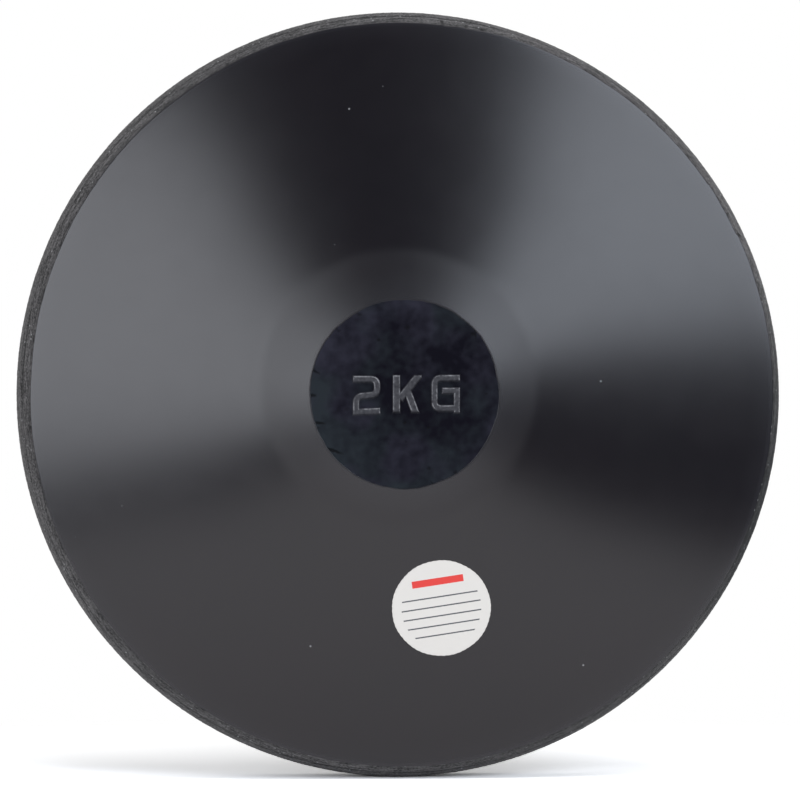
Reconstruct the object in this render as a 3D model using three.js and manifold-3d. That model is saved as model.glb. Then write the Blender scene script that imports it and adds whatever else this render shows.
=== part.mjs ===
// A 2 kg rubber throwing discus: two moulded rubber halves close on a cast iron weight, a rubber
// band makes the rim, and a round hub plate sits flush in the middle of each face.
// Millimetres. The discus stands on its rim: its axis runs along Y, the front face looks to -Y
// and +Z is up. The origin is the centre of the disc.

import * as THREE from 'three';
import { mergeVertices } from 'three/addons/utils/BufferGeometryUtils.js';
import Module from 'manifold-3d';

const wasm = await Module();
wasm.setup();

// Outer form
const disc_diameter = 220;
const hub_thickness = 45; // over the two hub plates
const hub_diameter = 54;
const rim_thickness = 26; // over the two creases, where the faces end
const rim_bulge = 3.7; // how far the rounded rim stands outside its creases

// Easing of the face's slope next to the hub
const shoulder_width = 14;
const shoulder_sag = 0.2;

// Rim band behind its visible surface
const band_depth = 5.3; // from the crease in to the seat
const band_flank = 4; // drop of the slanting flank from the crease to the seat
const band_key_depth = 6;
const band_key_thickness = 8;

// Weight sealed between the halves, with holes that the rubber runs through
const core_diameter = 120;
const core_thickness = 8;
const core_chamfer = 1;
const peg_hole_diameter = 14;
const peg_hole_count = 6;
const peg_circle_share = 0.62; // of the weight's radius
const peg_root = 1;

// Hub plates
const plate_thickness = 5;
const plate_chamfer = 0.8;

// Raised weight mark on the front hub plate
const letter_height = 11;
const letter_width = 8.1;
const letter_gap = 3;
const stroke_width = 1.7;
const stroke_corner = 1.9;
const mark_height = 0.6;
const mark_root = 0.5;
const mark_across = 0.6;
const mark_drop = 0.2;

// Round paper label on the front face
const label_diameter = 28;
const label_thickness = 0.2;
const label_across = 10.7;
const label_inset = 49.1; // from the foot of the rim up to the label's middle

// Clearance where one piece sits inside another
const fit_gap = 0.3;

// Facets round the disc, a peg and the label, and along the rim's arc, the shoulder and a
// rounded stroke corner
const disc_facets = 96;
const peg_facets = 24;
const label_facets = 48;
const rim_steps = 10;
const shoulder_steps = 4;
const corner_steps = 4;

// The two sides along Y
const front = -1;
const back = 1;

const disc_radius = disc_diameter / 2;
const hub_radius = hub_diameter / 2;
const hub_height = hub_thickness / 2;
const crease_radius = disc_radius - rim_bulge;
const crease_height = rim_thickness / 2;
const seat_height = hub_height - plate_thickness;
const core_radius = core_diameter / 2;
const core_height = core_thickness / 2;
const band_radius = crease_radius - band_depth;
const key_radius = band_radius - band_key_depth;
const key_height = band_key_thickness / 2;
const peg_radius = peg_hole_diameter / 2 - fit_gap;
const shoulder_radius = hub_radius + shoulder_width;
const label_drop = disc_radius - label_inset;

// Fall of the straight part of the face, in height for each unit of radius
const face_fall = (hub_height + shoulder_sag - crease_height) / (crease_radius - hub_radius);

function faceHeight(radius) {
	return crease_height + face_fall * (crease_radius - radius);
}

// A closed solid from a three.js geometry
function solid(geometry) {
	geometry.deleteAttribute('normal');
	geometry.deleteAttribute('uv');
	const merged = mergeVertices(geometry);
	const corners = merged.index.array;
	const kept = [];
	for (let i = 0; i < corners.length; i += 3) {
		const [a, b, c] = corners.slice(i, i + 3);
		if (a !== b && b !== c && c !== a) {
			kept.push(a, b, c);
		}
	}
	return new wasm.Manifold(new wasm.Mesh({
		numProp: 3,
		vertProperties: Float32Array.from(merged.attributes.position.array),
		triVerts: Uint32Array.from(kept),
	}));
}

// An outline of [radius, height] points, run counter-clockwise, turned round the disc's axis
function turned(outline, side = back) {
	const points = outline.map(([radius, height]) => new THREE.Vector2(radius, side * height));
	if (side === front) {
		points.reverse();
	}
	return solid(new THREE.LatheGeometry(points, disc_facets));
}

// The sloping face from the radius where it starts at the rim in to the hub
function faceOutline(outer_radius, inner_radius) {
	const shoulder = new THREE.QuadraticBezierCurve(
		new THREE.Vector2(shoulder_radius, faceHeight(shoulder_radius)),
		new THREE.Vector2(hub_radius + shoulder_width / 2, faceHeight(hub_radius + shoulder_width / 2)),
		new THREE.Vector2(inner_radius, hub_height),
	);
	const outline = [[outer_radius, faceHeight(outer_radius)]];
	for (const point of shoulder.getPoints(shoulder_steps)) {
		outline.push([point.x, point.y]);
	}
	return outline;
}

// Round pegs or holes at even places on the weight's peg circle
function pegs(radius, low, high) {
	const circle = core_radius * peg_circle_share;
	const all = [];
	for (let i = 0; i < peg_hole_count; i += 1) {
		const turn = (i / peg_hole_count) * Math.PI * 2;
		const peg = new THREE.CylinderGeometry(radius, radius, high - low, peg_facets);
		peg.translate(circle * Math.sin(turn), (low + high) / 2, circle * Math.cos(turn));
		all.push(solid(peg));
	}
	return wasm.Manifold.union(all);
}

// Cast iron weight in the middle, chamfered, with holes that key it into the rubber
function weightCore() {
	const disc = turned([
		[0, -core_height],
		[core_radius - core_chamfer, -core_height],
		[core_radius, core_chamfer - core_height],
		[core_radius, core_height - core_chamfer],
		[core_radius - core_chamfer, core_height],
		[0, core_height],
	]);
	const overrun = core_chamfer;
	return disc.subtract(pegs(peg_hole_diameter / 2, -core_height - overrun, core_height + overrun));
}

// One rubber half: face outside, recess for the weight and groove for the rim band inside
function shell(side) {
	const body = turned([
		[0, core_height],
		[core_radius + fit_gap, core_height],
		[core_radius + fit_gap, 0],
		[key_radius - fit_gap, 0],
		[key_radius - fit_gap, key_height],
		[band_radius - fit_gap, key_height],
		[band_radius - fit_gap, crease_height - band_flank],
		...faceOutline(crease_radius - fit_gap, hub_radius + fit_gap),
		[hub_radius + fit_gap, seat_height],
		[0, seat_height],
	], side);
	const ends = [0, side * (core_height + peg_root)];
	return body.add(pegs(peg_radius, Math.min(...ends), Math.max(...ends)));
}

// Rubber band of the rim: a rounded outside between the two creases and a key inside
function rimBand() {
	const arc_radius = (crease_height ** 2 + rim_bulge ** 2) / (2 * rim_bulge);
	const arc_centre = disc_radius - arc_radius;
	const arc_half = Math.asin(crease_height / arc_radius);
	const flank_end = crease_height - band_flank;
	const outline = [
		[key_radius, -key_height],
		[band_radius, -key_height],
		[band_radius, -flank_end],
	];
	for (let i = 0; i <= rim_steps; i += 1) {
		const angle = (2 * i / rim_steps - 1) * arc_half;
		outline.push([arc_centre + arc_radius * Math.cos(angle), arc_radius * Math.sin(angle)]);
	}
	outline.push([band_radius, flank_end], [band_radius, key_height], [key_radius, key_height]);
	outline.push(outline[0]);
	return turned(outline);
}

// Round plate that fills the seat in a shell, flush with the face
function hubPlate(side) {
	return turned([
		[0, seat_height],
		[hub_radius - plate_chamfer, seat_height],
		[hub_radius, seat_height + plate_chamfer],
		[hub_radius, hub_height],
		[0, hub_height],
	], side);
}

// A flat-ended stroke of even width along a centre line
function stroke(line) {
	const points = line.getPoints(corner_steps);
	const left = [];
	const right = [];
	for (let i = 0; i < points.length; i += 1) {
		const before = points[Math.max(i - 1, 0)];
		const after = points[Math.min(i + 1, points.length - 1)];
		const normal = new THREE.Vector2(before.y - after.y, after.x - before.x).normalize();
		left.push(points[i].clone().addScaledVector(normal, stroke_width / 2));
		right.unshift(points[i].clone().addScaledVector(normal, -stroke_width / 2));
	}
	return new THREE.Shape([...left, ...right]);
}

// A centre line through corners that are rounded off, by half of a side at most
function roundedLine(corners) {
	const line = new THREE.Path();
	line.moveTo(...corners[0]);
	for (let i = 1; i < corners.length - 1; i += 1) {
		const corner = new THREE.Vector2(...corners[i]);
		const easeTowards = (other) => {
			const side = new THREE.Vector2(...other).sub(corner);
			return side.setLength(Math.min(stroke_corner, side.length() / 2)).add(corner);
		};
		const before = easeTowards(corners[i - 1]);
		const after = easeTowards(corners[i + 1]);
		line.lineTo(before.x, before.y);
		line.quadraticCurveTo(corner.x, corner.y, after.x, after.y);
	}
	line.lineTo(...corners[corners.length - 1]);
	return line;
}

// The strokes of the three characters, each in a box that starts at its lower left corner
function characterStrokes() {
	const low = stroke_width / 2;
	const top = letter_height - low;
	const right = letter_width - low;
	const middle = letter_height / 2;
	const digit = [
		[[0, top], [right, top], [right, middle], [low, middle], [low, 0]],
		[[0, low], [letter_width, low]],
	];
	const branched = [
		[[low, 0], [low, letter_height]],
		[[stroke_width, middle - stroke_width], [letter_width + low / 2, letter_height + stroke_width]],
		[[letter_width / 2, middle + low], [right, -stroke_width]],
	];
	const hooked = [
		[[letter_width, top], [low, top], [low, low], [right, low]],
		[[letter_width / 2 - low, middle], [right, middle], [right, 0]],
	];
	return [digit, branched, hooked];
}

// The weight mark, raised from the front hub plate, each character cut off square at its box
function weightMark() {
	const characters = characterStrokes();
	const pitch = letter_width + letter_gap;
	const mark_width = pitch * characters.length - letter_gap;
	const depth = mark_root + mark_height;
	const place = (geometry, i) => {
		geometry.translate(i * pitch - mark_width / 2, -letter_height / 2, 0);
		geometry.rotateX(Math.PI / 2);
		geometry.translate(mark_across, mark_root - hub_height, -mark_drop);
		return solid(geometry);
	};
	const raised = characters.map((strokes, i) => {
		const bars = strokes.map((corners) => {
			const outline = stroke(roundedLine(corners));
			return place(new THREE.ExtrudeGeometry(outline, { depth, bevelEnabled: false }), i);
		});
		const box = new THREE.BoxGeometry(letter_width, letter_height, 2 * depth);
		box.translate(letter_width / 2, letter_height / 2, 0);
		return wasm.Manifold.union(bars).intersect(place(box, i));
	});
	return wasm.Manifold.union(raised);
}

// Round label that follows the slope of the front face
function faceLabel() {
	const under = faceOutline(crease_radius, hub_radius);
	const outline = [
		...under.map(([radius, height]) => [radius, height + fit_gap + label_thickness]),
		...under.reverse().map(([radius, height]) => [radius, height + fit_gap]),
	];
	outline.push(outline[0]);
	const cutter = new THREE.CylinderGeometry(
		label_diameter / 2, label_diameter / 2, hub_thickness, label_facets,
	);
	cutter.translate(label_across, -hub_height, -label_drop);
	return turned(outline, front).intersect(solid(cutter));
}

function piece(name, shape, color, roughness, metalness = 0) {
	const { vertProperties, triVerts } = shape.getMesh();
	const geometry = new THREE.BufferGeometry();
	geometry.setAttribute('position', new THREE.BufferAttribute(vertProperties, 3));
	geometry.setIndex(new THREE.BufferAttribute(triVerts, 1));
	geometry.computeVertexNormals();
	const mesh = new THREE.Mesh(geometry, new THREE.MeshStandardMaterial({ color, roughness, metalness }));
	mesh.name = name;
	return mesh;
}

const discus = new THREE.Group();
discus.add(
	piece('weight_core', weightCore(), 0x4a4846, 0.7, 0.8),
	piece('front_shell', shell(front), 0x2b2b2d, 0.4),
	piece('back_shell', shell(back), 0x2b2b2d, 0.4),
	piece('rim_band', rimBand(), 0x4b4b4b, 0.9),
	piece('front_hub_plate', hubPlate(front).add(weightMark()), 0x1d1f26, 0.5),
	piece('back_hub_plate', hubPlate(back), 0x1d1f26, 0.5),
	piece('face_label', faceLabel(), 0xe8e8e8, 0.5),
);

export default discus;
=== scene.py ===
"""A 2 kg rubber discus that stands on its rim in a plain white studio.

The disc's axis runs along Y. The front face looks to -Y and +Z is up. An angle round the disc is
0 on the right of the front face and a quarter turn at the top. Lengths are in metres.
"""

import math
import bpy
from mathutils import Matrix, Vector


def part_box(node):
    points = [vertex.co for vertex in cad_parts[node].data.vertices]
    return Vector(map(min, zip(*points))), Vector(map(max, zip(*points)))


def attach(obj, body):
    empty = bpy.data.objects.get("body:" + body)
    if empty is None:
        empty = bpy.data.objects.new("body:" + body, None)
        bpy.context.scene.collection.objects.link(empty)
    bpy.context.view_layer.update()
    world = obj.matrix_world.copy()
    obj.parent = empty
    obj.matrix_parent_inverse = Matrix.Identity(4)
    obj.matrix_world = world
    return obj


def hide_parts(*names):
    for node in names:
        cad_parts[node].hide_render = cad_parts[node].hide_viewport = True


bl_info = {
    "name": "Rubber discus",
    "version": (1, 0, 0),
    "blender": (4, 5, 0),
    "location": "3D View > Sidebar > Discus",
    "description": "Builds the surfaces and finishes of a 2 kg rubber discus, and its studio",
    "category": "Add Mesh",
}

import bmesh
import bpy
import numpy as np
from bpy.props import FloatProperty, FloatVectorProperty, PointerProperty
from bpy.types import Operator, Panel, PropertyGroup
from mathutils import Vector, noise

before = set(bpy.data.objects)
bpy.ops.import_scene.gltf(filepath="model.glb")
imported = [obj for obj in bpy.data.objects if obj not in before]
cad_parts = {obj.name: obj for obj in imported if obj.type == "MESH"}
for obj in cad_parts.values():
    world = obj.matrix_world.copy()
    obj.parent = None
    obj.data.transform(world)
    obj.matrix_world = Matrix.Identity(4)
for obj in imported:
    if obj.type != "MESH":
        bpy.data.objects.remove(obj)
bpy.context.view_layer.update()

RIM_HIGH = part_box("rim_band")[1]
SHELL_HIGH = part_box("back_shell")[1]
PLATE_LOW, PLATE_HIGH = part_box("back_hub_plate")
MARKED_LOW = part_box("front_hub_plate")[0]
LABEL_LOW, LABEL_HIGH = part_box("face_label")
CORE_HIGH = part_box("weight_core")[1]

MM = 0.001
FIT_GAP = 0.3 * MM
FRONT = -1
BACK = 1

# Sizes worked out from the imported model. The crease is trimmed a little outside the rim band's edge
CREASE_TRIM = 0.04 * MM
CREASE_RADIUS = SHELL_HIGH.x + FIT_GAP + CREASE_TRIM
MARK_HEIGHT = PLATE_HIGH.y * FRONT - MARKED_LOW.y
LABEL_RADIUS = (LABEL_HIGH.x - LABEL_LOW.x) / 2
LABEL_MIDDLE = (LABEL_LOW + LABEL_HIGH) / 2

# Columns of vertices round each piece
DISC_COLUMNS = 1440
PLATE_COLUMNS = 640
LABEL_COLUMNS = 560

# Steps that the trimming knife left in the front crease:
# angle in degrees, size in millimetres, and reach in degrees, to lower angles where it is below 0
TRIM_STEPS = (
    (25.4, -0.15, 5),
    (25.4, 0.22, -7),
    (34.4, 0.20, -4),
    (83.6, -0.40, -3),
    (80.1, -0.20, -2),
    (83.8, -0.24, 9),
)

# Nicks across the rim beside the front crease:
# angle and lean in degrees, reach from the crease and width in millimetres
RIM_NICKS = (
    (83.7, 10, 3.6, 0.45),
    (80.2, -2, 2.6, 0.40),
    (77.6, 12, 1.5, 0.50),
    (25.2, 6, 1.8, 0.55),
    (60.4, 4, 1.4, 0.40),
    (28.9, 2, 1.2, 0.40),
    (118.0, -6, 1.6, 0.40),
    (185.0, 8, 1.5, 0.45),
)

# Painted light and shade in patches round the rim, paler where the size is above 0 and darker where it is
# below:
# angle and reach either way in degrees, and change in the share of pale grain
RIM_PAINTED_LIGHT_PATCHES = (
    (24, 14, 0.65),
    (60, 20, 0.15),
    (115, 14, -0.20),
    (225, 12, -0.18),
    (266, 9, 0.35),
    (305, 17, -0.48),
    (338, 16, -0.66),
)

# Short cracks that run in from the edge of the front hub plate:
# angle in degrees, length, width and depth in millimetres, and lean to higher angles
PLATE_CRACKS = (
    (165.4, 2.9, 0.75, 0.22, 0.3),
    (181.0, 2.6, 1.00, 0.20, 0.0),
    (197.6, 3.8, 0.70, 0.26, 0.4),
    (200.8, 1.5, 0.60, 0.16, 0.4),
    (215.0, 3.4, 1.40, 0.28, 1.4),
    (229.0, 1.0, 0.50, 0.12, 0.3),
    (136.2, 1.2, 0.60, 0.16, 0.4),
    (121.5, 2.2, 0.70, 0.16, -0.9),
    (42.0, 2.2, 1.00, 0.20, -1.1),
    (302.5, 1.6, 0.50, 0.16, 0.6),
    (287.8, 1.9, 0.60, 0.16, -0.5),
    (2.0, 1.2, 0.50, 0.14, 0.2),
)

# Fit of each character of the weight mark in its place, in millimetres:
# shift to the right, width, foot above the line, height and stroke width
CHARACTER_FITS = (
    (-0.24, 7.75, -0.25, 11.05, 1.75),
    (0.0, 8.15, 0.50, 10.50, 2.05),
    (-0.10, 8.05, 0.35, 10.75, 1.70),
)

# Pits in the front hub plate: distance right of the axis and above it, width and depth in millimetres
PLATE_PITS = (
    (0.0, -8.1, 0.50, 0.20),
    (6.6, -9.5, 0.45, 0.16),
    (-7.4, 15.3, 0.55, 0.16),
    (0.7, 18.9, 1.10, 0.14),
    (19.4, 17.0, 0.90, 0.18),
    (-20.9, -15.9, 0.80, 0.20),
    (6.8, -21.1, 0.75, 0.14),
    (14.1, -22.2, 0.50, 0.14),
    (23.2, 0.1, 0.50, 0.14),
    (17.5, 0.1, 0.40, 0.12),
    (-18.7, 17.9, 0.60, 0.12),
    (-13.0, 22.5, 0.80, 0.14),
    (15.2, -15.9, 0.50, 0.12),
    (0.2, -13.5, 0.45, 0.10),
    (-12.6, 4.4, 1.20, 0.10),
    (-16.4, -4.2, 0.90, 0.10),
)

# Angle in degrees above which an edge is shaded sharp
SHARP_ANGLE = 50

# Rows of vertices across the pieces
SLOPE_ROWS = 15
SHOULDER_ROWS = 18
RIM_ROWS = 63
PLATE_OUTER_ROWS = 40
PLATE_INNER_ROWS = 24
MARK_ROWS = 128
LABEL_ROWS = 26

# Lamps: place, width and height, colour, and turn in degrees. The softboxes are beside the camera
LAMPS = {
    "left_softbox": ((-0.747, -1.5, 0.160), (1.093, 0.595), "f5f8ff", (90, -5, 0)),
    "right_softbox": ((0.718, -1.5, 0.593), (0.716, 0.950), "edf4ff", (90, 0, 0)),
    "top_light": ((0.12, -0.55, 1.15), (0.8, 0.8), "ffffff", (25.44, 5.96, 0)),
}

# Corners of the studio's dark sides: one behind the camera, and one low on the right
WALLS = (
    ((-1.7, -1.9, -1.2), (1.9, -1.9, -1.2), (1.9, -1.9, 1.1), (-1.7, -1.9, 1.1)),
    ((1.9, -1.9, -1.2), (1.0, 1.8, -1.2), (1.0, 1.8, 0.1), (1.9, -1.9, 0.1)),
)


def linear(hex_colour):
    """The linear colour of an sRGB hex value."""
    channels = [int(hex_colour[i:i + 2], 16) / 255 for i in (0, 2, 4)]
    return [c / 12.92 if c <= 0.04045 else ((c + 0.055) / 1.055) ** 2.4 for c in channels]


def length_property(name, description, default):
    """A length that the sidebar shows in the scene's own unit."""
    return FloatProperty(
        name=name, description=description, default=default, unit="LENGTH", subtype="DISTANCE", precision=5
    )


def angle_property(name, description, degrees):
    """An angle, written in degrees."""
    return FloatProperty(
        name=name, description=description, default=math.radians(degrees), unit="ROTATION", subtype="ANGLE"
    )


def brightness_property(name, description, default):
    """A brightness, where white paper is 1."""
    return FloatProperty(
        name=name, description=description, default=default, min=0, soft_max=10, subtype="FACTOR"
    )


def colour_property(name, description, hex_colour):
    """A colour that is written as an sRGB hex value."""
    return FloatVectorProperty(
        name=name, description=description, default=linear(hex_colour), subtype="COLOR", size=3, min=0, max=1
    )


class DiscusSizes(PropertyGroup):
    """Sizes of the disc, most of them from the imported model."""

    disc_radius: length_property("Disc radius", "From the axis to the outside of the rim", RIM_HIGH.z)
    crease_radius: length_property("Crease radius", "From the axis to the rim's crease", CREASE_RADIUS)
    crease_height: length_property("Crease height", "From the middle plane to the rim's crease", RIM_HIGH.y)
    hub_radius: length_property("Hub radius", "Radius of the hub plates", PLATE_HIGH.x)
    hub_height: length_property("Hub height", "From the middle plane to the hub's face", PLATE_HIGH.y)
    seat_height: length_property("Seat height", "From the middle plane to a hub plate's seat", PLATE_LOW.y)
    seat_gap: length_property("Seat gap", "Gap between a hub plate and the face round it", 0.02 * MM)
    core_radius: length_property("Core radius", "Radius of the iron weight", CORE_HIGH.x)
    core_height: length_property("Core height", "Half of the iron weight's thickness", CORE_HIGH.y)
    shoulder_radius: length_property("Shoulder radius", "Radius within which the face is steeper", 39.1 * MM)
    shoulder_shift: length_property("Shoulder shift", "How far that ring sits off the axis", 2.7 * MM)
    shoulder_ease: length_property("Shoulder ease", "Softness of the bend at the ring's edge", 1.0 * MM)
    shoulder_lift: length_property("Shoulder lift", "How far the face rises in that ring", 0.230 * MM)
    shoulder_side: angle_property("Shoulder side", "To which side that ring sits off the axis", 125)
    belly_start: length_property("Belly start", "Radius from which the face falls faster", 64 * MM)
    belly_full: length_property("Belly full", "Radius from which it falls fastest", 84 * MM)
    belly_slope: angle_property("Belly slope", "How much steeper the outer part of the face falls", 0.6875)
    band_depth: length_property("Band depth", "From the crease in to the rim band's seat", 5.3 * MM)
    band_flank: length_property("Band flank", "Drop from the crease to the rim band's seat", 4 * MM)
    key_depth: length_property("Key depth", "Depth of the rim band's key", 6 * MM)
    key_height: length_property("Key height", "Half of the key's thickness", 4 * MM)
    plate_chamfer: length_property("Plate chamfer", "Chamfer round a hub plate's underside", 0.8 * MM)


class DiscusMark(PropertyGroup):
    """Sizes of the raised weight mark and of the label."""

    letter_height: length_property("Letter height", "Height of the mark's characters", 11 * MM)
    letter_width: length_property("Letter width", "Width of each character", 8.1 * MM)
    letter_gap: length_property("Letter gap", "Gap between two characters", 3 * MM)
    stroke_corner: length_property("Stroke corner", "Rounding of a stroke's corner", 1.9 * MM)
    mark_height: length_property("Mark height", "How far the mark stands out of its plate", MARK_HEIGHT)
    mark_flank: length_property("Mark flank", "Width of the slope at a stroke's edge", 0.4 * MM)
    mark_crown: length_property("Mark crown", "Width of the rounding along a stroke's top", 0.8 * MM)
    mark_across: length_property("Mark across", "How far the mark sits to the right", 0.6 * MM)
    mark_drop: length_property("Mark drop", "How far the mark sits below the axis", 0.2 * MM)
    mark_reach: length_property("Mark reach", "Radius that holds the whole mark", 18.6 * MM)
    label_radius: length_property("Label radius", "Radius of the paper label", LABEL_RADIUS)
    label_thickness: length_property("Label thickness", "Thickness of the paper label", 0.16 * MM)
    label_lift: length_property("Label lift", "Gap between the label and the face", 0.005 * MM)
    label_waves: length_property("Label waves", "Depth of the waves in the label's cut edge", 0.07 * MM)
    label_tilt: angle_property("Label tilt", "How far the label is turned on the face", 8.6)


class DiscusRelief(PropertyGroup):
    """How far the surfaces stray from their true form."""

    crease_wander: length_property("Crease wander", "How far the trimmed crease strays", 0.22 * MM)
    crease_shift: length_property("Crease shift", "How far to the right the front crease was cut", 0.27 * MM)
    crease_rounding: length_property("Crease rounding", "Rounding of the face's outer edge", 0.10 * MM)
    crease_fall: length_property("Crease fall", "Width of the rounding of the rim's edges", 0.25 * MM)
    hub_wander: length_property("Hub wander", "How far the hub's outline strays", 0.32 * MM)
    edge_rounding: length_property("Edge rounding", "Rounding where two pieces meet", 0.10 * MM)
    face_ripple: length_property("Face ripple", "Height of the broad waves in the faces", 0.012 * MM)
    rim_grain: length_property("Rim grain", "Height of the buffed rim's grain", 0.10 * MM)
    skin_width: length_property("Skin width", "Width of the unbuffed strip by each crease", 1.3 * MM)
    skin_wander: length_property("Skin wander", "How far that strip's edge strays", 0.5 * MM)
    skin_ease: length_property("Skin ease", "Width over which the buffing fades out", 0.6 * MM)
    seam_offset: length_property("Seam offset", "From the middle plane to each of the rim's seams", 8.8 * MM)
    seam_width: length_property("Seam width", "Half of the width of the rim's seams", 0.40 * MM)
    seam_depth: length_property("Seam depth", "Depth of the rim's seams", 0.24 * MM)
    nick_depth: length_property("Nick depth", "Depth of the nicks beside the crease", 0.30 * MM)
    # Painted shade: the rim's grain is darkened in seams and nicks from this depth of cut
    shaded_cut_depth: length_property("Clean depth", "Depth of a cut from which its grain is dark", 0.2 * MM)
    plate_ripple: length_property("Plate ripple", "Height of the uneven hub plate", 0.03 * MM)
    pit_wander: length_property("Pit wander", "How ragged the plates' pits and cracks are", 0.22 * MM)
    mark_grain: length_property("Mark grain", "Roughness of the mark's worn top", 0.06 * MM)
    moat_depth: length_property("Moat depth", "Depth of the dip round the mark's strokes", 0.05 * MM)


class DiscusColours(PropertyGroup):
    """Colours of the finishes."""

    face_black: colour_property("Face black", "The faces' satin rubber", "0f0a0f")
    face_bloom: colour_property("Face bloom", "Paler clouds in the faces' rubber", "140d12")
    # Painted highlight in paler rings beside the hub and along the crease
    face_ring_sheen: colour_property("Face edge", "The faces' rubbed rings by the hub and the crease", "46464b")
    rim_dark: colour_property("Rim dark", "Pits and skin of the rim's rubber", "222223")
    rim_grey: colour_property("Rim grey", "The rim's buffed grain", "7a7879")
    dust_pale: colour_property("Dust pale", "Pale specks of dust on the face and the rim", "a6a7a8")
    hub_black: colour_property("Hub black", "The hub plates' rubber", "04030c")
    hub_blue: colour_property("Hub blue", "Bluish clouds in the hub plates", "25252f")
    hub_slate: colour_property("Hub slate", "Slate grey clouds in the hub plates", "20252a")
    # Painted shade in the hub plates' pits and cracks, darker with their depth
    hub_pit_shade: colour_property("Hub clean", "Clean rubber in the hub plates' pits and cracks", "050507")
    mark_grey: colour_property("Mark grey", "The mark's worn strokes", "444448")
    # Worn edges of the mark, with painted highlight on those facing up and sideways
    mark_edge_wear_and_highlight: colour_property("Mark edge", "The mark's rubbed edges", "828286")
    paper_white: colour_property("Paper white", "The label's coated paper", "d9d5cf")
    print_red: colour_property("Print red", "The label's printed bar", "d8362f")
    print_grey: colour_property("Print grey", "The label's printed lines", "4b4d50")
    iron_grey: colour_property("Iron grey", "The cast iron weight", "5a5653")
    iron_rust: colour_property("Iron rust", "Rust on the cast iron weight", "4a3226")
    wall_dark: colour_property("Wall dark", "The dark sides of the studio", "275157")


class DiscusStudio(PropertyGroup):
    """The camera, the lights and the table."""

    camera_distance: length_property("Camera distance", "From the disc's centre to the camera", 1.4)
    camera_azimuth: angle_property("Camera azimuth", "Angle round the disc, from straight in front", -4.055)
    camera_elevation: angle_property("Camera elevation", "Angle above the disc's centre", -0.26)
    lens: FloatProperty(
        name="Lens", description="Focal length in millimetres", default=218.55, subtype="DISTANCE_CAMERA"
    )
    left_radiance: brightness_property("Left softbox", "Brightness of the left softbox", 6.0)
    right_radiance: brightness_property("Right softbox", "Brightness of the right softbox", 6.75)
    top_radiance: brightness_property("Top light", "Brightness of the light overhead", 2.0)
    fill: brightness_property("Fill", "Brightness of the white room where it lights the object", 0.37)
    table_width: length_property("Table half width", "From the middle of the oval table to its side", 0.43)
    table_depth: length_property("Table half depth", "From the middle of the table to its front", 0.48)
    table_across: length_property("Table across", "How far the table's middle is right of the disc", -0.035)
    table_front: length_property("Table place", "How far the table's middle is in front of the disc", 0.22)
    table_gain: brightness_property("Table brightness", "How bright the camera sees the table", 2.19)


def smooth_step(low, high, value):
    """Rises smoothly from 0 at low to 1 at high."""
    share = np.clip((value - low) / (high - low), 0, 1)
    return share * share * (3 - 2 * share)


def noise_at(points, *layers):
    """Sums layers of smooth noise at points in space. A layer has its size in millimetres, share and seed."""
    places = points.reshape(-1, 3)
    total = np.zeros(len(places))
    for size, share, seed in layers:
        scaled = places / (size * MM) + seed
        total += share * np.array([noise.noise(place) for place in scaled.tolist()])
    return total.reshape(points.shape[:-1])


def column_degrees(columns):
    """The angle of each column round the disc, in degrees."""
    return np.arange(columns) * 360 / columns


def ring_points(radii, heights):
    """Points in space for a grid of radii and heights, with a column for each angle round the disc."""
    angles = np.radians(column_degrees(radii.shape[1]))
    return np.stack([radii * np.cos(angles), heights, radii * np.sin(angles)], -1)


def circle_points(radius, columns):
    """Points of a circle in the middle plane."""
    return ring_points(np.full((1, columns), radius), np.zeros((1, columns)))[0]


def grid_faces(rows, columns, loop):
    """Faces between the rows of a grid that closes on itself round its columns."""
    index = np.arange(rows * columns).reshape(rows, columns)
    upper = index if loop else index[:-1]
    lower = np.roll(index, -1, 0) if loop else index[1:]
    corners = [upper, np.roll(upper, -1, 1), np.roll(lower, -1, 1), lower]
    return np.stack(corners, -1).reshape(-1, 4).tolist()


def place_object(name, data):
    """Adds an object to the scene."""
    placed = bpy.data.objects.new(name, data)
    bpy.context.scene.collection.objects.link(placed)
    return placed


def closed_mesh(name, points, loop=False):
    """A solid from a grid of points. Its last row joins its first, or its end rows close to a point."""
    rows, columns = points.shape[:2]
    vertices = points.reshape(-1, 3).tolist()
    faces = grid_faces(rows, columns, loop)
    if not loop:
        for row in (0, rows - 1):
            ring = [row * columns + i for i in range(columns)]
            faces += [(ring[i], ring[i - 1], len(vertices)) for i in range(columns)]
            vertices.append(points[row].mean(0).tolist())
    mesh = bpy.data.meshes.new(name)
    mesh.from_pydata(vertices, [], faces)
    work = bmesh.new()
    work.from_mesh(mesh)
    bmesh.ops.recalc_face_normals(work, faces=work.faces)
    work.to_mesh(mesh)
    work.free()
    mesh.polygons.foreach_set("use_smooth", [True] * len(mesh.polygons))
    mesh.set_sharp_from_angle(angle=math.radians(SHARP_ANGLE))
    return place_object(name, mesh)


def store_shade(piece, name, values):
    """Keeps a value for each grid point of a piece, which its material reads."""
    shade = np.zeros(len(piece.data.vertices))
    shade[:values.size] = values.reshape(-1)
    piece.data.attributes.new(name, "FLOAT", "POINT").data.foreach_set("value", shade)


def dress(piece, node, material):
    """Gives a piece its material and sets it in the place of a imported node."""
    piece.data.materials.append(material)
    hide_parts(node)
    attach(piece, "root")


def belly_height(sizes, radius):
    """How far the outer part of the face swells above a straight slope, at a distance from the axis."""
    ease = sizes.belly_full - sizes.belly_start
    share = np.clip((radius - sizes.belly_start) / ease, 0, 1)
    straight = sizes.crease_radius - np.clip(radius, sizes.belly_full, None)
    return sizes.belly_slope * (straight + ease / 2 * (1 - share ** 2))


def face_height(sizes, radius):
    """Height of the face above the middle plane, at a distance from the axis."""
    swell = sizes.shoulder_lift + belly_height(sizes, sizes.hub_radius)
    slope = (sizes.hub_height - swell - sizes.crease_height) / (sizes.crease_radius - sizes.hub_radius)
    straight = sizes.crease_height + slope * (sizes.crease_radius - radius)
    return straight + belly_height(sizes, radius)


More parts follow.
